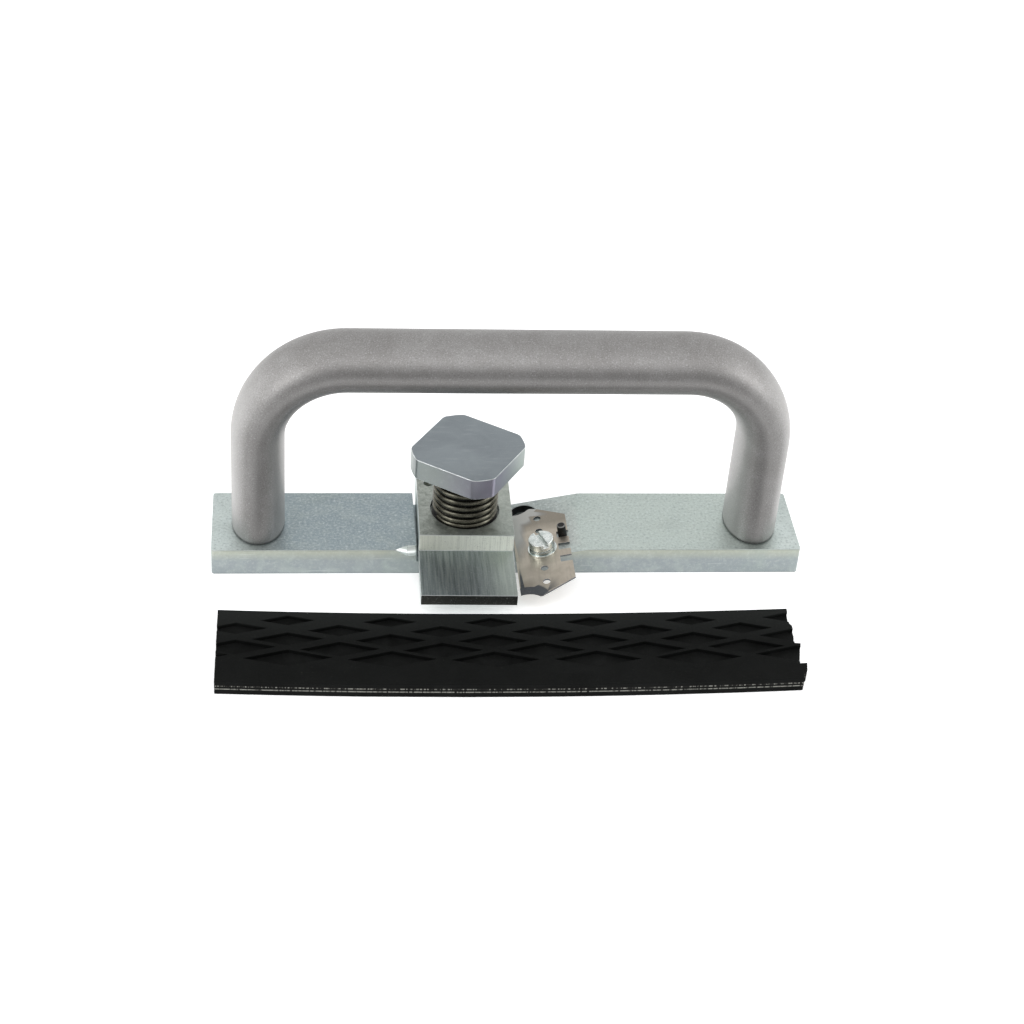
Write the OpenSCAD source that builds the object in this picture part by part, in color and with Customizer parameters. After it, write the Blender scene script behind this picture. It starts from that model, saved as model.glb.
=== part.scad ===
// Hand-held rubber strip cutter: a flat steel bar with an oval bow handle, a hook blade on a
// sloping seat, and a sprung guide block that is held down by a knob on a guide bolt.
// Origin: centre of the bar's underside. +X along the bar, -Y is the cutting side, +Z up.

/* [Base bar] */
// Length of the bar
bar_l = 200; // [180:1:260]
// Width of the bar
bar_w = 32; // [28:0.5:40]
// Thickness of the bar
bar_h = 10; // [8.5:0.5:14]
// Corner radius of the bar, seen from above
bar_corner = 1; // [0.5:0.1:4]
// Thickness of the bar left under the guide slot
slot_floor = 5; // [4.5:0.1:6.5]
// Side gap between the guide block and the left wall of its slot
slot_gap = 0.9; // [0.8:0.1:3]
// Diameter of the centre-drilled groove in the bar's front edge
groove_d = 5; // [3:0.1:6]
// Full-width length of the groove
groove_l = 3.1; // [1:0.1:8]

/* [Bow handle] */
// Distance from each end of the bar to the axis of the leg next to it
handle_inset = 15.5; // [14:0.5:25]
// Thickness of the oval section, in the plane of the bow
handle_t = 17.8; // [14:0.1:20]
// Width of the oval section, across the bar
handle_w = 26.8; // [20:0.2:28]
// Bend radius at the axis of the oval section
handle_bend = 29; // [22:1:40]
// Height of the grip's axis above the top of the bar
grip_rise = 65.2; // [60:0.2:90]
// Thread size of the screws that hold the handle and the guide bolt
screw_d = 8; // [6:1:10]
// Diameter of their countersunk heads
screw_head_d = 15.6; // [12:0.1:18]
// Length of the handle screws
handle_screw_l = 24; // [18:1:30]

/* [Guide block] */
// Width of the block, along the bar
block_w = 32; // [26:0.2:34]
// Distance from the guide bolt to the front of the block's thick part
block_front = 15.2; // [13:0.1:22]
// Distance from the guide bolt to the back of the block
block_back = 21.5; // [18:0.5:25]
// Height of the thick part of the block
block_h = 10.5; // [9:0.1:16]
// Length of the thin tongue in front of the thick part
tongue_l = 23.9; // [8:0.1:28]
// Height of the tongue
tongue_h = 4; // [2.5:0.1:6]
// Place of the guide bolt along the bar, measured from the bar's middle
bolt_x = -14.6; // [-20:0.1:-13]
// Turn of the loose block in its slot
block_yaw = -1; // [-2:0.1:2]
// Depth of the spring's seat in the top of the block
spring_seat = 2; // [1:0.1:3]
// Diameter of the small blind hole behind the spring, at the block's left
pin_hole_d = 3.6; // [2:0.1:4]

/* [Spring and knob] */
// Outer diameter of the spring
spring_od = 22.3; // [20:0.1:24]
// Diameter of the spring wire
wire_d = 1.8; // [1.2:0.1:2]
// Number of turns of the spring
spring_turns = 7; // [6:1:8]
// Length of the spring, as fitted
spring_l = 18.4; // [18.4:0.1:24]
// Thickness of the two washers at the ends of the spring
spring_washer_t = 0.8; // [0.5:0.1:1.2]
// Width of the square knob across its flats
knob_flats = 32; // [28:0.5:36]
// Diameter of the circle that cuts off the knob's corners
knob_round = 38.5; // [34:0.5:42]
// Thickness of the knob
knob_t = 7.5; // [6:0.5:10]
// Turn of the knob at rest
knob_turn = -33.5; // [-45:0.5:45]
// Outer diameter of the knob's threaded sleeve
sleeve_d = 13; // [11:0.1:14]
// Length of the sleeve below the knob
sleeve_l = 8; // [6:0.5:9]
// How far the knob can be screwed down the guide bolt
knob_travel = 2.5; // [1:0.1:2.5]

/* [Blade and its seat] */
// Place of the fold where the sloping seat meets the top of the bar
fold_x = 26.3; // [26:0.1:40]
// Slope of the seat
seat_angle = 12.1; // [10:0.1:14]
// Distance from the fold to the back edge of the blade
blade_back = 5.5; // [3:0.1:6]
// Place of the blade's middle across the bar
blade_y = -12.5; // [-14:0.1:-8]
// Overall length of the blade
blade_l = 47.8; // [46:0.2:54]
// Width of the blade
blade_w = 19; // [18:0.1:20]
// Thickness of the blade
blade_t = 0.65; // [0.5:0.05:1]
// Length of the blade's straight back edge
blade_back_l = 34.6; // [33:0.2:38]
// Radius of the hook's cutting edge
hook_r = 6.7; // [6:0.1:7.5]
// Width of the ground bevel of the hook
bevel_w = 3.2; // [1:0.1:3.5]
// Thread size of the blade screw
blade_screw_d = 5; // [4:0.5:5]
// Length of the blade screw under its head
blade_screw_l = 8; // [7:0.5:8]
// Diameter of the peg that sets the blade
peg_d = 3; // [2:0.1:3]
// Height of the peg above the seat
peg_rise = 4.6; // [2:0.1:7]
// Diameter of the relief bore under the blade's rear hook
relief_d = 10; // [8:0.1:11]

/* [Rubber strip] */
// Length of the strip
strip_l = 188.5; // [150:0.5:220]
// Width of the strip
strip_w = 35; // [35:0.2:50]
// Sideways bow of the strip, from its ends to its middle
strip_bow = 2.4; // [0:0.1:6]
// How much further forward the strip's right end lies than its left end
strip_skew = 0.85; // [0:0.05:2]
// Gap between the front of the bar and the ends of the strip
strip_gap = 25; // [24:0.1:60]
// Thickness of the bottom cover
strip_base_t = 1.9; // [0.8:0.1:3]
// Thickness of each fabric ply
ply_t = 0.45; // [0.3:0.05:0.8]
// Thickness of the rubber between the plies
skim_t = 0.7; // [0.3:0.1:1.5]
// Thickness of the patterned top cover
cover_t = 1.7; // [1.6:0.1:4]
// Length of one diamond of the pattern
diamond_l = 33; // [24:0.5:44]
// Width of one diamond of the pattern
diamond_w = 9.2; // [8:0.2:12]
// Depth of the diamonds
diamond_depth = 1.4; // [0.5:0.1:1.4]
// Width of the ribs round the front row of diamonds
rib_w = 1.3; // [0.8:0.1:2.5]
// How much wider the ribs get from each row of diamonds to the next row behind it
rib_growth = 0.75; // [0:0.05:0.9]

/* [Hidden] */
$fn = 96;

// Overshoot of every cutting tool past the face it opens
eps = 0.5;
// Radial clearance of a shaft that runs in its bore
run_fit = 0.05;
// Side of the hole that a loose part passes through, over the part's own radius
loose_fit = 0.3;

grip_z = bar_h + grip_rise;
handle_span = bar_l - 2 * handle_inset;
bolt_r = screw_d / 2;
// Countersinks are cut at 90 degrees, so their depth is the step in radius
sink_h = (screw_head_d - screw_d) / 2;

slot_left = bolt_x - block_w / 2 - slot_gap;
// The seat runs just past the front edge of the blade
seat_l = blade_back + blade_w + loose_fit;
seat_foot = [fold_x - seat_l * cos(seat_angle), bar_h - seat_l * sin(seat_angle)];

// Stack of pieces on the guide bolt, from the slot floor up
nut_h = 4;
nut_flats = 1.625 * screw_d;
nut_corners = nut_flats / cos(30);
nut_pocket_h = nut_h + 0.4;
nut_pocket_d = nut_corners + 2 * loose_fit + 0.4;
block_top = slot_floor + block_h;
seat_floor_z = block_top - spring_seat;
spring_z0 = seat_floor_z + spring_washer_t;
spring_z1 = spring_z0 + spring_l;
knob_z = spring_z1 + spring_washer_t;
sleeve_in_knob = knob_t - 1.5;
sleeve_roof = 1;
bolt_end_gap = 0.3;
// Place of the small blind hole, from the left side and the back of the block
pin_hole_edge = 4.2;
pin_hole_back = 7.2;
pin_hole_depth = 6;
bolt_l = knob_z + sleeve_in_knob - sleeve_roof - knob_travel - bolt_end_gap;

// Stack of pieces on the blade screw, from the seat up
blade_mid = -blade_back - blade_w / 2;
washer_t = 0.8;
lock_washer_t = 1;
cheese_z = blade_t + washer_t + lock_washer_t;
cheese_h = 3;
slot_w = 1.5;
slot_depth = 1.4;
notch_w = peg_d + 0.2;
notch_depth = 4;
notch_pitch = 6.6;
peg_place = -blade_back - 2;
peg_seat = 6;
relief_place = [-blade_back - 14.7, blade_y + 21.8];

// The blade's hooks: tip of each hook, as distances from the middle of the blade
hook_tip = [blade_l / 2, -2.3];
hook_centre = [blade_l / 2 + 4.5, -8];

strip_back = -bar_w / 2 - strip_gap;
strip_front = strip_back - strip_w;
strip_left = -98;
left_slant = 0.7;
strip_right = strip_left + strip_l;
strip_mid = (strip_left + strip_right) / 2;
ply_z1 = strip_base_t;
skim_z = ply_z1 + ply_t;
ply_z2 = skim_z + skim_t;
cover_z = ply_z2 + ply_t;
// The pattern leaves a plain band along the front of the strip
diamond_front = strip_front + 12.2;
diamond_rows = round((strip_back - diamond_front) / (diamond_w / 2));
diamond_cols = ceil(strip_l / diamond_l) + 1;

module countersunk(len, d) {
    cylinder(h = len, d = d);
    cylinder(h = sink_h, d1 = screw_head_d, d2 = screw_d);
}

// Puts its children on the blade's seat: x runs from the fold, z is square to the seat
module on_seat() {
    translate([fold_x, 0, bar_h]) rotate([0, -seat_angle, 0]) children();
}

module oval_section() {
    scale([handle_t / handle_w, 1]) circle(d = handle_w);
}

module bar_outline() {
    inner = [bar_l / 2 - bar_corner, bar_w / 2 - bar_corner];
    square([bar_l, 2 * inner.y], center = true);
    square([2 * inner.x, bar_w], center = true);
    for (x = [-inner.x, inner.x], y = [-inner.y, inner.y])
        translate([x, y]) circle(r = bar_corner);
}

// Slot for the guide block, running into the sloping seat of the blade
module slot_and_seat_cut() {
    translate([0, bar_w / 2 + eps, 0]) rotate([90, 0, 0])
        linear_extrude(bar_w + 2 * eps)
            polygon([[slot_left, slot_floor], [seat_foot.x, slot_floor], seat_foot,
                [fold_x, bar_h], [fold_x, bar_h + 1], [slot_left, bar_h + 1]]);
}

module front_edge_groove() {
    cone_l = groove_d / 2 / tan(30);
    translate([slot_left + eps, -bar_w / 2, bar_h]) rotate([0, -90, 0]) {
        cylinder(h = groove_l + eps, d = groove_d);
        translate([0, 0, groove_l + eps]) cylinder(h = cone_l, d1 = groove_d, d2 = 0);
    }
}

module base_bar() {
    color("silver") difference() {
        linear_extrude(bar_h) bar_outline();
        slot_and_seat_cut();
        front_edge_groove();
        for (x = [-handle_span / 2, handle_span / 2])
            translate([x, 0, 0]) {
                translate([0, 0, -eps]) cylinder(h = bar_h + 2 * eps, d = screw_d);
                cylinder(h = sink_h, d1 = screw_head_d, d2 = screw_d);
            }
        translate([bolt_x, 0, 0]) {
            translate([0, 0, -eps]) cylinder(h = bar_h + 2 * eps, d = screw_d);
            cylinder(h = sink_h, d1 = screw_head_d, d2 = screw_d);
        }
        on_seat() {
            translate([blade_mid, blade_y, -bar_h - eps])
                cylinder(h = bar_h + 2 * eps, d = blade_screw_d);
            translate([peg_place, blade_y + notch_pitch, -peg_seat])
                cylinder(h = peg_seat + eps, d = peg_d);
            translate([relief_place.x, relief_place.y, -3])
                cylinder(h = 3 + eps, d = relief_d);
        }
    }
}

module bow_handle() {
    straight = handle_span - 2 * handle_bend;
    bend_z = grip_z - handle_bend;
    color("gainsboro") difference() {
        union() {
            translate([straight / 2, 0, grip_z]) rotate([0, -90, 0])
                linear_extrude(straight) oval_section();
            for (turn = [0, 180]) rotate([0, 0, turn]) {
                translate([handle_span / 2, 0, bar_h])
                    linear_extrude(bend_z - bar_h) oval_section();
                translate([straight / 2, 0, bend_z]) rotate([90, 0, 0])
                    rotate_extrude(angle = 90)
                        translate([handle_bend, 0]) oval_section();
            }
        }
        for (x = [-handle_span / 2, handle_span / 2])
            translate([x, 0, bar_h - eps])
                cylinder(h = handle_screw_l - bar_h + 2 + eps, d = screw_d);
    }
}

module handle_screws() {
    color("dimgray")
        for (x = [-handle_span / 2, handle_span / 2])
            translate([x, 0, 0]) difference() {
                countersunk(handle_screw_l, screw_d);
                translate([0, 0, -eps]) cylinder(h = 3 + eps, d = 5.8, $fn = 6);
            }
}

module guide_bolt() {
    color("dimgray") translate([bolt_x, 0, 0]) difference() {
        countersunk(bolt_l, screw_d);
        translate([0, 0, -eps]) cylinder(h = 3 + eps, d = 5.8, $fn = 6);
    }
}

module guide_bolt_nut() {
    color("silver") translate([bolt_x, 0, slot_floor]) difference() {
        cylinder(h = nut_h, d = nut_corners, $fn = 6);
        translate([0, 0, -eps]) cylinder(h = nut_h + 2 * eps, d = screw_d);
    }
}

module guide_block() {
    color("lightgray") translate([bolt_x, 0, slot_floor]) rotate([0, 0, block_yaw])
        difference() {
            union() {
                translate([-block_w / 2, -block_front, 0])
                    cube([block_w, block_front + block_back, block_h]);
                translate([-block_w / 2, -block_front - tongue_l, 0])
                    cube([block_w, tongue_l + 1, tongue_h]);
            }
            translate([0, 0, -eps]) cylinder(h = block_h + 2 * eps, r = bolt_r + run_fit);
            translate([0, 0, -eps]) cylinder(h = nut_pocket_h + eps, d = nut_pocket_d);
            translate([0, 0, block_h - spring_seat])
                cylinder(h = spring_seat + eps, r = spring_od / 2 + 2 * loose_fit);
            translate([pin_hole_edge - block_w / 2, block_back - pin_hole_back,
                    block_h - pin_hole_depth])
                cylinder(h = pin_hole_depth + eps, d = pin_hole_d);
        }
}

module washer(d_out, d_in, t) {
    difference() {
        cylinder(h = t, d = d_out);
        translate([0, 0, -eps]) cylinder(h = t + 2 * eps, d = d_in);
    }
}

module lower_spring_washer() {
    color("slategray") translate([bolt_x, 0, seat_floor_z])
        washer(spring_od, screw_d + 2 * loose_fit, spring_washer_t);
}

module upper_spring_washer() {
    color("slategray") translate([bolt_x, 0, spring_z1])
        washer(spring_od, sleeve_d + 2 * loose_fit, spring_washer_t);
}

// The spring: the first and last turns lie close, the others have an even pitch
closed_pitch = wire_d + 0.1;
open_pitch = (spring_l - wire_d - 2 * closed_pitch) / (spring_turns - 2);
coil_r = (spring_od - wire_d) / 2;
rings_per_turn = 18;
wire_sides = 6;
function coil_rise(u) =
    u < 1 ? u * closed_pitch
    : u > spring_turns - 1 ? spring_l - wire_d - (spring_turns - u) * closed_pitch
    : closed_pitch + (u - 1) * open_pitch;
function wire_ring(u) = [for (k = [0:wire_sides - 1])
    let (a = 360 * u, b = 360 * k / wire_sides, r = coil_r + wire_d / 2 * cos(b))
        [r * cos(a), r * sin(a), wire_d / 2 + coil_rise(u) + wire_d / 2 * sin(b)]];

module compression_spring() {
    count = spring_turns * rings_per_turn;
    points = [for (i = [0:count]) each wire_ring(i / rings_per_turn)];
    sides = [for (i = [0:count - 1], k = [0:wire_sides - 1])
        let (a = i * wire_sides, n = (k + 1) % wire_sides)
            [a + k, a + wire_sides + k, a + wire_sides + n, a + n]];
    caps = [[for (k = [0:wire_sides - 1]) k],
        [for (k = [wire_sides - 1:-1:0]) count * wire_sides + k]];
    color("darkslategray") translate([bolt_x, 0, spring_z0])
        polyhedron(points, concat(sides, caps));
}

module knob_plate() {
    color("silver") translate([bolt_x, 0, knob_z]) rotate([0, 0, knob_turn])
        difference() {
            linear_extrude(knob_t) intersection() {
                square(knob_flats, center = true);
                circle(d = knob_round);
            }
            translate([0, 0, -eps]) cylinder(h = sleeve_in_knob + eps, d = sleeve_d);
        }
}

module knob_sleeve() {
    color("dimgray") translate([bolt_x, 0, knob_z - sleeve_l]) difference() {
        cylinder(h = sleeve_l + sleeve_in_knob, d = sleeve_d);
        translate([0, 0, -eps])
            cylinder(h = sleeve_l + sleeve_in_knob - sleeve_roof + eps, r = bolt_r + run_fit);
    }
}

// One half of the blade, seen along its length: back edge at +y, hooks at -y
module blade_half() {
    difference() {
        polygon([[0, blade_w / 2], [blade_back_l / 2, blade_w / 2], hook_tip,
            [hook_tip.x - 1, -blade_w / 2], [0, -blade_w / 2]]);
        translate(hook_centre) circle(r = hook_r);
    }
}

module hook_blade() {
    color("rosybrown") on_seat() translate([blade_mid, blade_y, 0]) rotate([0, 0, -90])
        difference() {
            linear_extrude(blade_t) union() {
                blade_half();
                mirror([1, 0]) blade_half();
            }
            for (side = [-1, 1]) translate([side * hook_centre.x, hook_centre.y, 0.1])
                cylinder(h = blade_t, r1 = hook_r, r2 = hook_r + bevel_w * blade_t / (blade_t - 0.1));
            translate([0, 0, -eps]) cylinder(h = blade_t + 2 * eps, d = blade_screw_d + 0.3);
            for (x = [-17.2, -10.2, 10.2, 17.2])
                translate([x, -0.3, -eps]) cylinder(h = blade_t + 2 * eps, d = 2.5);
            for (x = [-notch_pitch, 0, notch_pitch])
                translate([x - notch_w / 2, blade_w / 2 - notch_depth, -eps])
                    cube([notch_w, notch_depth + eps, blade_t + 2 * eps]);
        }
}

module blade_washer() {
    color("silver") on_seat() translate([blade_mid, blade_y, blade_t])
        washer(2 * blade_screw_d, blade_screw_d + 0.3, washer_t);
}

module blade_lock_washer() {
    color("gray") on_seat() translate([blade_mid, blade_y, blade_t + washer_t]) difference() {
        washer(1.8 * blade_screw_d, blade_screw_d + 0.3, lock_washer_t);
        rotate([0, 0, 200]) translate([0, -0.4, -eps])
            cube([blade_screw_d, 0.8, lock_washer_t + 2 * eps]);
    }
}

module blade_screw() {
    head_d = 1.7 * blade_screw_d;
    color("silver") on_seat() translate([blade_mid, blade_y, cheese_z]) difference() {
        union() {
            cylinder(h = cheese_h, d = head_d);
            translate([0, 0, -blade_screw_l]) cylinder(h = blade_screw_l + 1, d = blade_screw_d);
        }
        rotate([0, 0, -72]) translate([-head_d, -slot_w / 2, cheese_h - slot_depth])
            cube([2 * head_d, slot_w, slot_depth + eps]);
    }
}

module blade_peg() {
    color("black") on_seat() translate([peg_place, blade_y + notch_pitch, -peg_seat])
        cylinder(h = peg_seat + peg_rise, d = peg_d);
}

// How far forward the strip lies at a place along it, from its bow and its skew
function lie(x) = strip_bow * (1 - pow((x - strip_mid) / (strip_l / 2), 2))
    + strip_skew * (x - strip_left) / strip_l;

// Outline of the strip: cut square at the left, torn off in steps at the right
module strip_outline() {
    steps = 24;
    places = [for (i = [0:steps - 1]) strip_left + i * strip_l / steps];
    back = [for (x = places) [max(x, strip_left + left_slant), strip_back - lie(x)]];
    front = [for (i = [steps - 1:-1:0]) [places[i] + 0.3, strip_front - lie(places[i])]];
    right = strip_right;
    foot = strip_front - lie(right);
    torn_end = [[right + 0.3, strip_back - lie(right)], [right - 0.3, foot + 27.4],
        [right + 0.4, foot + 26.2], [right + 0.4, foot + 22.4], [right - 0.4, foot + 17.5],
        [right + 1.6, foot + 17.3], [right - 0.5, foot + 7.4], [right + 1.9, foot + 7.6],
        [right + 1.3, foot + 4.2], [right, foot + 3.8], [right - 0.4, foot]];
    polygon(concat(back, torn_end, front));
}

module strip_layer(z, t) {
    translate([0, 0, z]) linear_extrude(t) strip_outline();
}

module strip_bottom_cover() {
    color("#1c1d1c") strip_layer(0, strip_base_t);
}

module strip_lower_ply() {
    color("#8a8a84") strip_layer(ply_z1, ply_t);
}

module strip_skim() {
    color("#1c1d1c") strip_layer(skim_z, skim_t);
}

module strip_upper_ply() {
    color("#8a8a84") strip_layer(ply_z2, ply_t);
}

module diamond(rib) {
    half = [(diamond_l - rib * diamond_l / diamond_w) / 2, (diamond_w - rib) / 2];
    polygon([[-half.x, 0], [0, half.y], [half.x, 0], [0, -half.y]]);
}

module strip_top_cover() {
    color("#262827") difference() {
        strip_layer(cover_z, cover_t);
        translate([0, 0, cover_z + cover_t - diamond_depth]) linear_extrude(diamond_depth + eps)
            for (row = [0:diamond_rows - 1], col = [-1:diamond_cols - 1]) {
                x = strip_left + (col + 0.705 + 0.5 * (row % 2)) * diamond_l;
                translate([x, diamond_front + row * diamond_w / 2 - lie(x)])
                    diamond(rib_w + row * rib_growth);
            }
    }
}

base_bar();
bow_handle();
handle_screws();
guide_bolt();
guide_bolt_nut();
guide_block();
lower_spring_washer();
compression_spring();
upper_spring_washer();
knob_plate();
knob_sleeve();
hook_blade();
blade_washer();
blade_lock_washer();
blade_screw();
blade_peg();
strip_bottom_cover();
strip_lower_ply();
strip_skim();
strip_upper_ply();
strip_top_cover();
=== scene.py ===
"""A hand-held rubber strip cutter: a zinc-plated bar with an oval aluminium bow handle, a hook
blade on a sloping seat, a sprung guide block under a square knob, and a patterned rubber strip."""

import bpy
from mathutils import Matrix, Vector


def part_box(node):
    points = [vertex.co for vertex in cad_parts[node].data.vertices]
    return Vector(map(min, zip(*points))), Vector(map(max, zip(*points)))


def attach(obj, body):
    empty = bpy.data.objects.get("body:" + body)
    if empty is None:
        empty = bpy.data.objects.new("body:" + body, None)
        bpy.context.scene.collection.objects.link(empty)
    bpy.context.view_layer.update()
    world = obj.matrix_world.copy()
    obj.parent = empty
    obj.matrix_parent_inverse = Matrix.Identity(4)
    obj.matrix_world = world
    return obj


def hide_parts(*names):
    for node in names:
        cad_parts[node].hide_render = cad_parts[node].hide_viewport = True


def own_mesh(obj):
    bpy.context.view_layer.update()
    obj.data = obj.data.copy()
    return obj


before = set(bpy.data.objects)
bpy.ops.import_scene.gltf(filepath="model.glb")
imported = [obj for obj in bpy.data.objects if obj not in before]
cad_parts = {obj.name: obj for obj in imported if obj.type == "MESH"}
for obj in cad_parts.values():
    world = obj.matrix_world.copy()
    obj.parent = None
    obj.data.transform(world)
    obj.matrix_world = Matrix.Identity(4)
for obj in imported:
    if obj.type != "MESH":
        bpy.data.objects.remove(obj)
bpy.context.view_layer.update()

import bmesh
import bpy
import math
from mathutils import Matrix, Vector


# ---- Camera -------------------------------------------------------------------------------
# The camera stands in front of the tool and left of its middle, and is turned and rolled a
# little to face it, so the lens needs no shift and the tool stays in the middle of every view.

camera_data = bpy.data.cameras.new("camera")
camera_data.lens = 75.30
camera_data.clip_start = 0.05
camera_data.clip_end = 20.0
YAW, PITCH, ROLL = (math.radians(angle) for angle in (7.75, 36.90, 4.67))
camera = bpy.data.objects.new("camera", camera_data)
camera.location = (-0.0773, -0.5806, 0.4538)
camera.rotation_euler = (Matrix.Rotation(-YAW, 3, "Z")
                         @ Matrix.Rotation(math.pi / 2 - PITCH, 3, "X")
                         @ Matrix.Rotation(ROLL, 3, "Z")).to_euler()
bpy.context.scene.collection.objects.link(camera)
bpy.context.scene.camera = camera
bpy.context.scene.view_settings.view_transform = "Standard"


# ---- Studio floor and light ---------------------------------------------------------------
# A plain white floor, with one softbox overhead and one on each side that draw the highlights
# on the plated steel. The room is bright behind the tool and at its sides, and dimmer in front.


class Socket:
    """A shader socket that can be used in sums and products with sockets and numbers."""

    def __init__(self, nodes, source):
        self.nodes = nodes
        self.source = source

    def _maths(self, operation, first, second):
        return self.nodes.node("ShaderNodeMath", {"operation": operation}, {0: first, 1: second})

    def __add__(self, other):
        return self._maths("ADD", self, other)

    __radd__ = __add__

    def __sub__(self, other):
        return self._maths("SUBTRACT", self, other)

    def __rsub__(self, other):
        return self._maths("SUBTRACT", other, self)

    def __mul__(self, other):
        return self._maths("MULTIPLY", self, other)

    __rmul__ = __mul__


class Nodes:
    """A tree of shader nodes, which node() and sums on its sockets add to."""

    def __init__(self, tree):
        self.tree = tree

    def node(self, kind, settings=None, inputs=None, output=0):
        node = self.tree.nodes.new(kind)
        for key, value in (settings or {}).items():
            if key == "stops":
                ramp = node.color_ramp
                while len(ramp.elements) < len(value):
                    ramp.elements.new(0.5)
                for element, (place, colour) in zip(ramp.elements, value):
                    element.position = place
                    element.color = (*colour, 1)
            else:
                setattr(node, key, value)
        for key, value in (inputs or {}).items():
            self.put(node.inputs[key], value)
        return Socket(self, node.outputs[output])

    def put(self, socket, value):
        if isinstance(value, Socket):
            self.tree.links.new(value.source, socket)
        elif isinstance(value, (tuple, list)) and len(value) == 3 and socket.type == "RGBA":
            socket.default_value = (*value, 1)
        else:
            socket.default_value = value

    def axis(self, where, name):
        """One coordinate of a place, a direction or a normal."""
        return self.node("ShaderNodeSeparateXYZ", {}, {0: where}, output=name)


class Paint(Nodes):
    """One procedural material."""

    def __init__(self, name):
        self.material = bpy.data.materials.new(name)
        self.material.use_nodes = True
        super().__init__(self.material.node_tree)
        self.tree.nodes.clear()
        self.shader = self.tree.nodes.new("ShaderNodeBsdfPrincipled")
        output = self.tree.nodes.new("ShaderNodeOutputMaterial")
        self.tree.links.new(self.shader.outputs[0], output.inputs["Surface"])

    def finish(self, **sockets):
        names = {"colour": "Base Color", "roughness": "Roughness", "metallic": "Metallic",
                 "bump": "Normal", "specular": "Specular IOR Level"}
        for key, value in sockets.items():
            self.put(self.shader.inputs[names[key]], value)
        return self.material

    def place(self, stretch=(1, 1, 1), turn=(0, 0, 0)):
        """Object coordinates in millimetres, stretched and turned."""
        where = self.node("ShaderNodeTexCoord", output="Object")
        scale = tuple(1000 * s for s in stretch)
        return self.node("ShaderNodeMapping", {}, {"Vector": where, "Scale": scale,
                                                  "Rotation": turn})

    def normal(self):
        return self.node("ShaderNodeTexCoord", output="Normal")

    def noise(self, where, scale, detail=2.0, roughness=0.5, distortion=0.0):
        return self.node("ShaderNodeTexNoise", {}, {"Vector": where, "Scale": scale,
                         "Detail": detail, "Roughness": roughness, "Distortion": distortion})

    def ramp(self, value, *stops):
        return self.node("ShaderNodeValToRGB", {"stops": stops}, {"Fac": value})

    def mask(self, value, low, high):
        """0 where the value has not passed low, 1 where it has passed high."""
        return self.node("ShaderNodeMapRange", {"clamp": True},
                         {"Value": value, "From Min": low, "From Max": high})

    def mix(self, factor, first, second):
        return self.node("ShaderNodeMix", {"data_type": "RGBA", "blend_type": "MIX"},
                         {0: factor, 6: first, 7: second}, output=2)

    def bump(self, height, distance, strength):
        return self.node("ShaderNodeBump", {}, {"Height": height, "Distance": distance,
                                               "Strength": strength})


def new_object(name, shape, *materials, sharp=35):
    """Links a bmesh as an object at the origin, smooth but for its sharp edges."""
    mesh = bpy.data.meshes.new(name)
    shape.to_mesh(mesh)
    shape.free()
    mesh.materials.clear()
    for material in materials:
        mesh.materials.append(material)
    for polygon in mesh.polygons:
        polygon.use_smooth = True
        polygon.material_index = 0
    mesh.set_sharp_from_angle(angle=math.radians(sharp))
    piece = bpy.data.objects.new(name, mesh)
    bpy.context.scene.collection.objects.link(piece)
    return piece


floor_paint = Paint("studio_floor")
floor_tone = floor_paint.noise(floor_paint.place(), 0.004, 3.0)
floor_material = floor_paint.finish(
    colour=floor_paint.ramp(floor_tone, (0.3, (0.93, 0.935, 0.94)), (0.7, (0.955, 0.955, 0.955))),
    roughness=0.8, specular=0.1)
# A little light of its own keeps the floor as white as the backdrop behind it
floor_paint.shader.inputs["Emission Color"].default_value = (1, 1, 1, 1)
floor_paint.shader.inputs["Emission Strength"].default_value = 0.32
floor_mesh = bmesh.new()
bmesh.ops.create_grid(floor_mesh, x_segments=2, y_segments=2, size=4.0)
new_object("studio_floor", floor_mesh, floor_material)

world = bpy.data.worlds.new("studio")
world.use_nodes = True
bpy.context.scene.world = world
# The room is bright behind and above the tool and at its sides, and dimmer in front of it
room = Nodes(world.node_tree)
backdrop = world.node_tree.nodes["Background"]
direction = room.node("ShaderNodeTexCoord", output="Generated")
sideways = room.axis(direction, "X")
behind = room.node("ShaderNodeVectorMath", {"operation": "DOT_PRODUCT"},
                   {0: direction, 1: (0.0, 0.9, 0.45)}, output="Value")
shades = room.node("ShaderNodeMapRange", {"interpolation_type": "SMOOTHSTEP"},
                   {"Value": behind, "From Min": -0.8, "From Max": 0.55,
                    "To Min": 0.36, "To Max": 0.88})
room.put(backdrop.inputs["Strength"], sideways * sideways * 0.75 + shades)
room.put(backdrop.inputs["Color"], (1.0, 1.0, 1.0))


def softbox(name, place, aim, size, power):
    light = bpy.data.lights.new(name, "AREA")
    light.shape = "RECTANGLE"
    light.size, light.size_y = size
    light.energy = power
    box = bpy.data.objects.new(name, light)
    box.location = place
    box.rotation_euler = (Vector(aim) - Vector(place)).to_track_quat("-Z", "Y").to_euler()
    bpy.context.scene.collection.objects.link(box)


softbox("top_softbox", (0.0, -0.45, 1.3), (0, 0, 0), (1.2, 0.8), 3.5)
softbox("left_softbox", (-1.0, -0.5, 0.7), (0, 0, 0.03), (0.5, 0.8), 4.5)
softbox("right_softbox", (1.1, -0.2, 0.6), (0, 0, 0.03), (0.4, 0.8), 3.5)


# ---- Base bar -----------------------------------------------------------------------------
# Cold-drawn flat bar, milled across for the guide block and on a slope for the blade, then
# bright zinc plated: pale blue-grey with a fine crystalline sparkle and a faint yellow bloom.


MM = 0.001
WELD = 1e-6
FLAT_WITHIN = math.radians(0.5)
# Which edges of a piece count as its upright outer corners
CORNER_TURN = math.radians(20)
CORNER_UPRIGHT = 0.99
CORNER_OUT = 12 * MM


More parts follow.
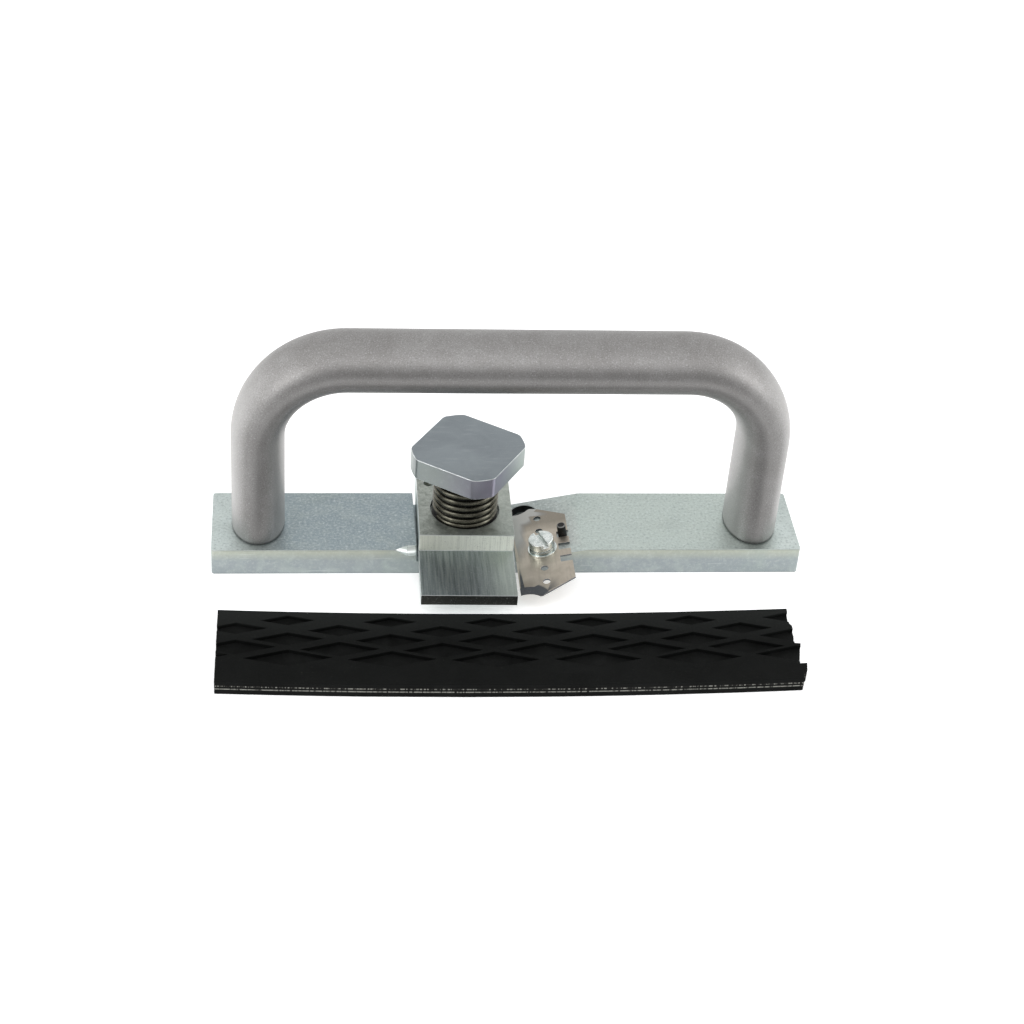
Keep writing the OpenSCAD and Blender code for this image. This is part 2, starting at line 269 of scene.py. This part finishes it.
def edged_copy(node, name, bevel, *materials, slot, segments=2, angle=30, corner=0,
               body="frame"):
    """A copy of a CAD piece with clean flat faces and a fine bevel on its sharp edges."""
    shape = bmesh.new()
    shape.from_mesh(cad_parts[node].data)
    bmesh.ops.remove_doubles(shape, verts=shape.verts, dist=WELD)
    bmesh.ops.dissolve_limit(shape, angle_limit=FLAT_WITHIN, verts=shape.verts,
                             edges=shape.edges)
    if corner:
        # The upright outer edges are rounded before the fine bevel
        middle = sum((v.co for v in shape.verts), Vector()) / len(shape.verts)
        upright = [edge for edge in shape.edges
                   if edge.is_manifold and edge.calc_face_angle() > CORNER_TURN
                   and abs((edge.verts[0].co - edge.verts[1].co).normalized().z) > CORNER_UPRIGHT
                   and (edge.verts[0].co - middle).xy.length > CORNER_OUT]
        bmesh.ops.bevel(shape, geom=upright, offset=corner, offset_type="OFFSET", segments=5,
                        profile=0.5, affect="EDGES", material=-1, clamp_overlap=True)
    piece = new_object(name, shape, *materials, sharp=angle)
    rounding = piece.modifiers.new("edges", "BEVEL")
    rounding.width = bevel
    rounding.segments = segments
    rounding.limit_method = "ANGLE"
    rounding.angle_limit = math.radians(angle)
    rounding.harden_normals = True
    rounding.material = len(materials) - 1
    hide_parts(node)
    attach(piece, body)
    return piece


def bright_edge(name, colour=(0.80, 0.84, 0.84), roughness=0.28, cross_edges=1.0):
    """The thin edge where plating is rubbed bright, painted lighter still as a highlight; edges
    along the bar may be duller.
    """
    paint = Paint(name)
    rub = paint.noise(paint.place(), 0.35, 3.0, 0.6)
    worn = paint.mix(paint.mask(rub, 0.36, 0.6), tuple(0.68 * c for c in colour), colour)
    if cross_edges < 1:
        across = paint.axis(paint.normal(), "X")
        worn = paint.mix(paint.mask(across * across, 0.05, 0.15),
                         tuple(cross_edges * c for c in colour), worn)
    return paint.finish(colour=worn, roughness=roughness + rub * 0.15, metallic=0.9)


# Centre of the relief bore, in millimetres along and across the bar
RELIEF_CENTRE = (6.5, 9.3)
# Squares of the distances from its centre where the painted shade in the bore starts and is full
RELIEF_RIM = (28.0, 26.5)


def zinc_bar():
    paint = Paint("zinc_plated_bar")
    place = paint.place()
    x, y, z = (paint.axis(place, name) for name in "XYZ")
    facing = paint.axis(paint.normal(), "Y")
    cloud = paint.noise(place, 0.16, 4.0, 0.6, 0.6)
    crystal = paint.noise(place, 1.1, 4.0, 0.75)
    patch = paint.noise(place, 0.045, 3.0, 0.5, 0.8)
    grain = paint.noise(paint.place((0.06, 1, 1)), 1.6, 3.0, 0.6)
    scored = paint.noise(paint.place((0.06, 2.4, 1.2), (0, 0, 0.5)), 0.9, 2.0)
    scratch = paint.mask(scored, 0.68, 0.72)
    # The right half of the top is lighter and greener than the left half
    top = paint.mix(paint.mask(x, -5, 25), (0.30, 0.36, 0.385), (0.52, 0.59, 0.555))
    ends = paint.mask(x, -76, -86) + paint.mask(x, 88, 94)
    top = paint.mix(ends * 0.9, top, (0.62, 0.69, 0.67))
    seat = paint.mask(paint.axis(paint.normal(), "X"), -0.12, -0.18)
    top = paint.mix(seat, top, paint.mix(paint.mask(x, 14, 27), (0.37, 0.41, 0.40),
                                         (0.52, 0.55, 0.52)))
    front = paint.mix(paint.mask(z, 5.5, 9.5), (0.29, 0.325, 0.335), (0.42, 0.44, 0.365))
    front = paint.mix(paint.mask(z, 9.0, 9.8) * 0.5, front, (0.22, 0.25, 0.25))
    on_front = paint.mask(facing, -0.3, -0.8)
    colour = paint.mix(on_front, top, front)
    # The front shows less of the crystals than the top
    coarse = 1 - on_front * 0.72
    colour = paint.mix(paint.mask(cloud, 0.45, 0.68) * 0.2, colour, (0.60, 0.65, 0.60))
    colour = paint.mix(paint.mask(patch, 0.55, 0.35) * 0.3, colour, (0.30, 0.35, 0.33))
    colour = paint.mix(paint.mask(crystal, 0.52, 0.70) * coarse * 0.6, colour, (0.74, 0.80, 0.80))
    colour = paint.mix(paint.mask(crystal, 0.47, 0.32) * coarse * 0.6, colour, (0.20, 0.24, 0.26))
    colour = paint.mix(scratch * 0.16, colour, (0.80, 0.84, 0.84))
    # The bottom half-millimetre of the bar is painted dark: painted shade where it meets the floor
    colour = paint.mix(paint.mask(z, 0.5, 0.05) * 0.7, colour, (0.10, 0.11, 0.11))
    # The inside of the groove in the front edge is painted bright: a painted highlight
    groove = paint.mask(y, -15.95, -15.8) * paint.mask(y, -12.9, -13.1) * paint.mask(z, 9.97, 9.9)
    groove = groove * paint.mask(x, -31.6, -31.9) * paint.mask(x, -43, -42)
    colour = paint.mix(groove * 0.85, colour, (0.88, 0.92, 0.90))
    # The relief bore under the blade's rear hook is painted dark inside: painted shade in the
    # recess
    bore_x, bore_y = x - RELIEF_CENTRE[0], y - RELIEF_CENTRE[1]
    in_bore = paint.mask(bore_x * bore_x + bore_y * bore_y, *RELIEF_RIM)
    colour = paint.mix(in_bore * paint.mask(z, 7.6, 6.9) * 0.8, colour, (0.05, 0.05, 0.05))
    roughness = 0.24 + cloud * 0.12 + crystal * 0.14 - scratch * 0.06
    bump = paint.bump(crystal + grain * 0.6 - scratch * 0.5, 0.00005, 0.35)
    return paint.finish(colour=colour, roughness=roughness, metallic=0.88, bump=bump)


edged_copy("base_bar", "bar", 0.25 * MM, zinc_bar(), bright_edge("bar_edge", (0.55, 0.61, 0.60)),
           slot="zinc_steel")


# ---- Bow handle ---------------------------------------------------------------------------
# Oval aluminium bar bent into a bow and tumbled to a soft satin, so it has no edges and a fine
# pitted skin. It stands square on the bar and is screwed from below.

HANDLE_SPAN = 169 * MM
HANDLE_SECTION = (17.8 * MM, 26.8 * MM)
HANDLE_BEND = 29 * MM
handle_low, handle_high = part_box("bow_handle")
grip_z = handle_high[2] - HANDLE_SECTION[0] / 2
bend_x = HANDLE_SPAN / 2 - HANDLE_BEND
bend_z = grip_z - HANDLE_BEND


def tumbled_aluminium():
    paint = Paint("tumbled_aluminium")
    place = paint.place()
    smudge = paint.noise(place, 0.055, 5.0, 0.62, 1.2)
    blotch = paint.noise(place, 0.3, 4.0, 0.6)
    pits = paint.noise(place, 2.4, 2.0, 0.6)
    fine = paint.noise(place, 6.0, 2.0, 0.5)
    streak = paint.noise(paint.place((0.1, 1, 1)), 0.5, 3.0, 0.6)
    z = paint.axis(place, "Z")
    colour = paint.mix(paint.mask(smudge, 0.36, 0.68), (0.265, 0.258, 0.252), (0.33, 0.325, 0.32))
    colour = paint.mix(paint.mask(blotch, 0.45, 0.7) * 0.3, colour, (0.25, 0.24, 0.235))
    colour = paint.mix(paint.mask(streak, 0.5, 0.8) * 0.25, colour, (0.27, 0.26, 0.26))
    colour = paint.mix(paint.mask(pits, 0.56, 0.70) * 0.6, colour, (0.17, 0.165, 0.16))
    colour = paint.mix(paint.mask(pits, 0.44, 0.30) * 0.45, colour, (0.55, 0.55, 0.55))
    # The front of the handle is painted a darker grey as shade, and its sides lighter as a painted
    # reflection
    normal = paint.normal()
    front, side = paint.axis(normal, "Y"), paint.axis(normal, "X")
    colour = paint.mix(paint.mask(front, -0.35, -0.95) * 0.42, colour, (0.10, 0.098, 0.096))
    colour = paint.mix(paint.mask(side * side, 0.35, 0.95) * 0.35, colour, (0.70, 0.69, 0.68))
    # A thin dark line of painted shade runs round each leg where it meets the bar
    colour = paint.mix(paint.mask(z, 11.2, 10.2) * 0.8, colour, (0.06, 0.06, 0.06))
    roughness = 0.36 + smudge * 0.14 + pits * 0.10
    bump = paint.bump(pits + fine * 0.6 + blotch * 1.5, 0.00006, 0.35)
    return paint.finish(colour=colour, roughness=roughness, metallic=0.92, bump=bump)


handle_shape = bmesh.new()
section = bmesh.ops.create_circle(handle_shape, segments=72, radius=0.5)["verts"]
bmesh.ops.scale(handle_shape, vec=(HANDLE_SECTION[0], HANDLE_SECTION[1], 1), verts=section)
bmesh.ops.translate(handle_shape, vec=(-HANDLE_SPAN / 2, 0, handle_low[2]), verts=section)
edge_loop = list(handle_shape.edges)
# Each stretch of the bow: None and a move for a straight one, or the centre of a bend
for centre, move, steps in (
    (None, Vector((0, 0, bend_z - handle_low[2])), 10),
    (Vector((-bend_x, 0, bend_z)), None, 24),
    (None, Vector((2 * bend_x, 0, 0)), 26),
    (Vector((bend_x, 0, bend_z)), None, 24),
    (None, Vector((0, 0, handle_low[2] - bend_z)), 10),
):
    swept = bmesh.ops.spin(
        handle_shape, geom=edge_loop, cent=centre or (0, 0, 0), axis=(0, 1, 0),
        dvec=(move or Vector()) / steps, angle=math.pi / 2 if centre else 0.0, steps=steps)
    edge_loop = [g for g in swept["geom_last"] if isinstance(g, bmesh.types.BMEdge)]
bmesh.ops.remove_doubles(handle_shape, verts=handle_shape.verts, dist=WELD)
bmesh.ops.holes_fill(handle_shape, edges=handle_shape.edges, sides=0)
bmesh.ops.recalc_face_normals(handle_shape, faces=handle_shape.faces)
handle = new_object("handle", handle_shape, tumbled_aluminium())
handle_edges = handle.modifiers.new("edges", "BEVEL")
handle_edges.width = 0.5 * MM
handle_edges.segments = 2
handle_edges.limit_method = "ANGLE"
handle_edges.angle_limit = math.radians(50)
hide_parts("bow_handle")
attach(handle, "frame")


# ---- Screws, guide bolt and nut ------------------------------------------------------------
# Blackened countersunk socket screws come up through the bar into the handle's legs. A third one
# is the guide bolt of the sprung block, and a thin zinc-plated nut locks it to the slot's floor.


def dress(node, material):
    """Gives a CAD piece its finish."""
    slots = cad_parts[node].material_slots
    if not slots:
        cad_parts[node].data.materials.append(material)
    for slot in slots:
        slot.material = material


def blackened_steel(name, dark=(0.045, 0.045, 0.05), worn=(0.20, 0.20, 0.21)):
    paint = Paint(name)
    place = paint.place()
    oil = paint.noise(place, 0.25, 3.0, 0.6)
    turned = paint.noise(paint.place((0.3, 0.3, 4.0)), 1.2, 2.0)
    rub = paint.mask(paint.noise(place, 1.1, 3.0, 0.7), 0.55, 0.72)
    colour = paint.mix(rub * 0.5 + oil * 0.25, dark, worn)
    return paint.finish(colour=colour, roughness=0.32 + oil * 0.25, metallic=0.85,
                        bump=paint.bump(turned + oil, 0.00003, 0.3))


black_screw_steel = blackened_steel("blackened_screw_steel")
dress("handle_screws", black_screw_steel)
dress("guide_bolt", black_screw_steel)


def plated_nut():
    paint = Paint("plated_nut")
    place = paint.place()
    film = paint.noise(place, 0.4, 4.0, 0.6)
    grain = paint.noise(place, 2.6, 2.0, 0.6)
    colour = paint.mix(film, (0.42, 0.47, 0.47), (0.62, 0.66, 0.62))
    return paint.finish(colour=colour, roughness=0.28 + grain * 0.2, metallic=0.9,
                        bump=paint.bump(grain, 0.00003, 0.3))


dress("guide_bolt_nut", plated_nut())


# ---- Guide block --------------------------------------------------------------------------
# Steel block with a thin tongue in front, milled all over and zinc plated. It drops loosely over
# the guide bolt into the bar's slot, and its long edges are bright.


def milled_block():
    paint = Paint("milled_block")
    place = paint.place()
    x, y, z = (paint.axis(place, name) for name in "XYZ")
    normal = paint.normal()
    up, facing = paint.axis(normal, "Z"), paint.axis(normal, "Y")
    mottle = paint.noise(place, 0.55, 4.0, 0.68, 0.5)
    speck = paint.noise(place, 2.2, 3.0, 0.7)
    lengthwise = paint.noise(paint.place((1.6, 0.06, 0.3)), 1.0, 3.0, 0.6)
    brushed = paint.noise(paint.place((2.4, 0.4, 0.05)), 1.0, 3.0, 0.7)
    thick = paint.mix(paint.mask(mottle, 0.35, 0.68), (0.25, 0.275, 0.245), (0.47, 0.50, 0.46))
    thick = paint.mix(paint.mask(x, -22, -4) * 0.35, thick, (0.50, 0.55, 0.50))
    tongue = paint.mix(paint.mask(lengthwise, 0.35, 0.68), (0.16, 0.185, 0.19), (0.31, 0.35, 0.345))
    tongue = paint.mix(paint.mask(x, -11, -3) * 0.6, tongue, (0.42, 0.47, 0.42))
    top = paint.mix(paint.mask(z, 12, 13), tongue, thick)
    # The step is brushed upright; its pale colour, brighter to the right, is a painted reflection
    step = paint.mix(paint.mask(x, -28, 0), (0.60, 0.62, 0.54), (0.86, 0.90, 0.82))
    step = paint.mix(paint.mask(brushed, 0.45, 0.72) * 0.4, step, (0.30, 0.32, 0.29))
    # The tongue's front face is painted near-black: painted shade
    nose = paint.mask(y, -37, -39)
    upright = paint.mix(nose, step, (0.07, 0.075, 0.068))
    side = (0.50, 0.56, 0.54)
    front_or_side = paint.mix(paint.mask(facing, -0.5, -0.8), side, upright)
    colour = paint.mix(paint.mask(up, 0.5, 0.9), front_or_side, top)
    colour = paint.mix(paint.mask(speck, 0.58, 0.72) * 0.4, colour, (0.62, 0.66, 0.64))
    colour = paint.mix(paint.mask(speck, 0.42, 0.30) * 0.45, colour, (0.10, 0.11, 0.11))
    roughness = 0.32 + mottle * 0.12 + speck * 0.10
    bump = paint.bump(speck + lengthwise * 0.6 + brushed * 0.6, 0.00005, 0.4)
    # The step is made less metallic so that its painted reflection colour shows
    on_step = paint.mask(facing, -0.5, -0.8) * (1 - nose) * paint.mask(z, 8.9, 9.1)
    return paint.finish(colour=colour, roughness=roughness, metallic=0.88 - on_step * 0.6,
                        bump=bump)


edged_copy("guide_block", "block", 0.45 * MM, milled_block(),
           bright_edge("block_edge", cross_edges=0.62), slot="block_steel", body="block")


# ---- Compression spring --------------------------------------------------------------------
# Round oiled wire wound in seven turns, the end turns lying close. It is made in two halves that
# meet at mid-height: one shortens as the block lifts, the other as the knob is screwed down.

WIRE_R = 0.9 * MM
SPRING_R = 10.25 * MM
TURNS = 7
CLOSED_PITCH = 1.9 * MM
STEPS_PER_TURN = 40
SPRING_START = math.radians(205)
spring_low, spring_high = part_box("compression_spring")
bolt_low, bolt_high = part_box("guide_bolt")
bolt_x = (bolt_low[0] + bolt_high[0]) / 2
spring_mid = (bolt_x, 0, (spring_low[2] + spring_high[2]) / 2)
half_spring = (spring_high[2] - spring_low[2]) / 2
open_pitch = 2 * (half_spring - WIRE_R - CLOSED_PITCH) / (TURNS - 2)


def oiled_wire():
    paint = Paint("oiled_spring_wire")
    place = paint.place()
    film = paint.noise(place, 0.3, 3.0, 0.6)
    draw = paint.noise(place, 1.8, 3.0, 0.7)
    colour = paint.mix(paint.mask(film, 0.35, 0.7), (0.065, 0.062, 0.048), (0.15, 0.145, 0.115))
    colour = paint.mix(paint.mask(draw, 0.62, 0.75) * 0.2, colour, (0.22, 0.21, 0.18))
    return paint.finish(colour=colour, roughness=0.20 + draw * 0.12, metallic=0.95,
                        bump=paint.bump(draw, 0.00003, 0.3))


wire_material = oiled_wire()


def half_coil(name, turned_over):
    """Sweeps the wire from the close end turn up to mid-height."""
    shape = bmesh.new()
    ring = bmesh.ops.create_circle(shape, segments=14, radius=WIRE_R, cap_ends=False)["verts"]
    bmesh.ops.rotate(shape, cent=(0, 0, 0), matrix=Matrix.Rotation(math.pi / 2, 3, "X"), verts=ring)
    bmesh.ops.translate(shape, vec=(SPRING_R, 0, WIRE_R), verts=ring)
    loop = list(shape.edges)
    for turns, pitch in ((1, CLOSED_PITCH), (TURNS / 2 - 1, open_pitch)):
        steps = round(turns * STEPS_PER_TURN)
        swept = bmesh.ops.spin(
            shape, geom=loop, cent=(0, 0, 0), axis=(0, 0, 1), dvec=(0, 0, pitch * turns / steps),
            angle=2 * math.pi * turns, steps=steps)
        loop = [g for g in swept["geom_last"] if isinstance(g, bmesh.types.BMEdge)]
    bmesh.ops.remove_doubles(shape, verts=shape.verts, dist=WELD)
    bmesh.ops.holes_fill(shape, edges=shape.edges, sides=0)
    bmesh.ops.translate(shape, vec=(0, 0, -half_spring), verts=shape.verts)
    if turned_over:
        bmesh.ops.rotate(shape, cent=(0, 0, 0), matrix=Matrix.Rotation(math.pi, 3, "X"),
                         verts=shape.verts)
    bmesh.ops.rotate(shape, cent=(0, 0, 0), matrix=Matrix.Rotation(SPRING_START, 3, "Z"),
                     verts=shape.verts)
    bmesh.ops.translate(shape, vec=spring_mid, verts=shape.verts)
    bmesh.ops.recalc_face_normals(shape, faces=shape.faces)
    coil = new_object(name, shape, wire_material)
    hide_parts("compression_spring")
    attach(coil, "frame")
    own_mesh(coil)


half_coil("spring_lower_half", False)
half_coil("spring_upper_half", True)
dress("lower_spring_washer", blackened_steel("lower_washer_steel", (0.07, 0.07, 0.065)))
dress("upper_spring_washer", blackened_steel("upper_washer_steel", (0.07, 0.07, 0.065)))


# ---- Knob ---------------------------------------------------------------------------------
# Square steel plate with its corners turned off, bevelled and zinc plated, pressed on a threaded
# sleeve that screws down the guide bolt and loads the spring.


def smooth_zinc():
    paint = Paint("smooth_zinc_knob")
    place = paint.place()
    up = paint.axis(paint.normal(), "Z")
    x = paint.axis(place, "X")
    cloud = paint.noise(place, 0.07, 3.0, 0.5, 0.8)
    fine = paint.noise(place, 3.0, 2.0, 0.6)
    wipe = paint.noise(paint.place((0.3, 1.6, 1), (0, 0, 0.6)), 0.5, 3.0, 0.6)
    top = paint.mix(paint.mask(cloud, 0.35, 0.7), (0.235, 0.265, 0.285), (0.285, 0.32, 0.34))
    # The sides are painted in reflection tones: grey at the left, violet further right, a lighter
    # green-grey at the right
    side = paint.mix(paint.mask(x, -26, -8), (0.30, 0.33, 0.32), (0.34, 0.33, 0.41))
    side = paint.mix(paint.mask(x, -5, 3), side, (0.40, 0.45, 0.43))
    colour = paint.mix(paint.mask(up, 0.4, 0.9), side, top)
    colour = paint.mix(paint.mask(wipe, 0.55, 0.72) * 0.16, colour, (0.50, 0.54, 0.57))
    colour = paint.mix(paint.mask(fine, 0.6, 0.72) * 0.25, colour, (0.54, 0.58, 0.60))
    roughness = 0.26 + cloud * 0.12 + fine * 0.06
    bump = paint.bump(fine + cloud * 2, 0.00003, 0.3)
    return paint.finish(colour=colour, roughness=roughness, metallic=0.88, bump=bump)


edged_copy("knob_plate", "knob", 0.75 * MM, smooth_zinc(), bright_edge("knob_edge"), angle=50,
           segments=3, corner=1.6 * MM, slot="knob_steel", body="knob")
dress("knob_sleeve", blackened_steel("sleeve_steel", (0.05, 0.05, 0.05)))


# ---- Blade and its screw --------------------------------------------------------------------
# Thin hook blade with two ground hooks, rolled satin steel with a warm film of oil. One slotted
# screw with two washers clamps it on the seat, and a black pin in a notch sets it square.


def rolled_blade():
    paint = Paint("rolled_blade_steel")
    place = paint.place()
    normal = paint.normal()
    tilt = paint.axis(normal, "Y")
    film = paint.noise(place, 0.14, 4.0, 0.6, 0.8)
    rolled = paint.noise(paint.place((1.2, 0.12, 1)), 0.9, 3.0, 0.6)
    fine = paint.noise(place, 3.2, 2.0, 0.6)
    flat = paint.mix(paint.mask(film, 0.3, 0.7), (0.42, 0.375, 0.31), (0.56, 0.51, 0.435))
    flat = paint.mix(paint.mask(rolled, 0.5, 0.75) * 0.35, flat, (0.30, 0.27, 0.235))
    flat = paint.mix(paint.mask(paint.axis(place, "Y"), -3, 2) * 0.8, flat, (0.22, 0.20, 0.165))
    # The ground bevels are painted dark and bluish where they face the front and light grey where
    # they face back: painted shade and light on one grind
    ground = paint.mix(paint.mask(tilt, 0.03, 0.06), (0.14, 0.15, 0.16), (0.42, 0.42, 0.40))
    bevelled = paint.mask(tilt * tilt, 0.001, 0.003)
    colour = paint.mix(bevelled, flat, ground)
    colour = paint.mix(paint.mask(fine, 0.6, 0.72) * 0.3, colour, (0.60, 0.56, 0.50))
    roughness = 0.30 + film * 0.10 + fine * 0.08
    bump = paint.bump(fine + rolled, 0.00003, 0.35)
    return paint.finish(colour=colour, roughness=roughness, metallic=0.92, bump=bump)


edged_copy("hook_blade", "blade", 0.06 * MM, rolled_blade(),
           bright_edge("blade_edge", (0.62, 0.60, 0.56)), segments=1, angle=40,
           slot="blade_steel")


def bright_zinc(name, low=(0.50, 0.56, 0.54), high=(0.84, 0.88, 0.86)):
    paint = Paint(name)
    place = paint.place()
    film = paint.noise(place, 0.5, 4.0, 0.6)
    turned = paint.noise(paint.place((1, 1, 4)), 1.2, 2.0)
    colour = paint.mix(paint.mask(film, 0.3, 0.65), low, high)
    return paint.finish(colour=colour, roughness=0.18 + turned * 0.14, metallic=0.95,
                        bump=paint.bump(turned, 0.00003, 0.3))


washer_zinc = bright_zinc("washer_zinc")
edged_copy("blade_washer", "washer", 0.12 * MM, washer_zinc, slot="bright_steel")
edged_copy("blade_lock_washer", "lock_washer", 0.1 * MM,
           bright_zinc("lock_washer_zinc", (0.25, 0.28, 0.27), (0.55, 0.58, 0.56)),
           slot="bright_steel")
edged_copy("blade_screw", "screw", 0.3 * MM, bright_zinc("screw_zinc"),
           bright_edge("screw_edge", (0.92, 0.95, 0.93), 0.2), slot="bright_steel")
edged_copy("blade_peg", "peg", 0.35 * MM,
           blackened_steel("black_oxide_pin", (0.02, 0.02, 0.02), (0.06, 0.06, 0.06)),
           bright_edge("pin_rim", (0.22, 0.22, 0.21), 0.35), angle=50, slot="black_oxide")


# ---- Rubber strip ---------------------------------------------------------------------------
# A length of two-ply rubber belt that lies in front of the tool: plain bottom, diamond-pattern
# top, and two pale fabric plies that show as thin lines along its front edge. Its right end is
# torn.


def rubber(name, pattern):
    paint = Paint(name)
    place = paint.place()
    z = paint.axis(place, "Z")
    bloom = paint.noise(place, 0.08, 4.0, 0.6, 0.8)
    grain = paint.noise(place, 1.1, 4.0, 0.7)
    dust = paint.mask(paint.noise(place, 0.8, 4.0, 0.75), 0.66, 0.74)
    colour = paint.mix(paint.mask(bloom, 0.35, 0.7), (0.003, 0.0033, 0.0031),
                       (0.0075, 0.008, 0.0077))
    if pattern:
        rib = paint.mask(z, 4.4, 5.1)
        y = paint.axis(place, "Y")
        colour = paint.mix(rib * 0.6, colour, (0.005, 0.0055, 0.0052))
        colour = paint.mix(rib * paint.mask(y, -58, -44) * 0.7, colour, (0.015, 0.0165, 0.0158))
    colour = paint.mix(dust * 0.3, colour, (0.06, 0.06, 0.05))
    roughness = 0.52 + grain * 0.2
    bump = paint.bump(grain + bloom * 2, 0.00015, 0.5)
    return paint.finish(colour=colour, roughness=roughness, specular=0.05, bump=bump)


def ply_fabric(name, low, high):
    """Cut ends of the cords of the ply, with rubber smeared over part of them."""
    paint = Paint(name)
    cord = paint.noise(paint.place((1.6, 0.3, 0.3)), 1.0, 2.0, 0.5)
    smear = paint.noise(paint.place(), 0.35, 3.0, 0.6)
    colour = paint.mix(paint.mask(cord, low, high), (0.012, 0.012, 0.011), (0.22, 0.22, 0.20))
    colour = paint.mix(paint.mask(smear, 0.5, 0.7) * 0.6, colour, (0.06, 0.06, 0.055))
    return paint.finish(colour=colour, roughness=0.8, specular=0.08,
                        bump=paint.bump(cord, 0.0002, 0.6))


edged_copy("strip_bottom_cover", "bottom_cover", 0.2 * MM, rubber("bottom_rubber", False),
           slot="rubber")
edged_copy("strip_lower_ply", "lower_ply", 0.05 * MM, ply_fabric("lower_ply_cords", 0.36, 0.5),
           slot="ply_fabric")
edged_copy("strip_skim", "skim", 0.08 * MM, rubber("skim_rubber", False), slot="rubber")
edged_copy("strip_upper_ply", "upper_ply", 0.05 * MM, ply_fabric("upper_ply_cords", 0.5, 0.58),
           slot="ply_fabric")
edged_copy("strip_top_cover", "top_cover", 0.25 * MM, rubber("top_rubber", True), slot="rubber")
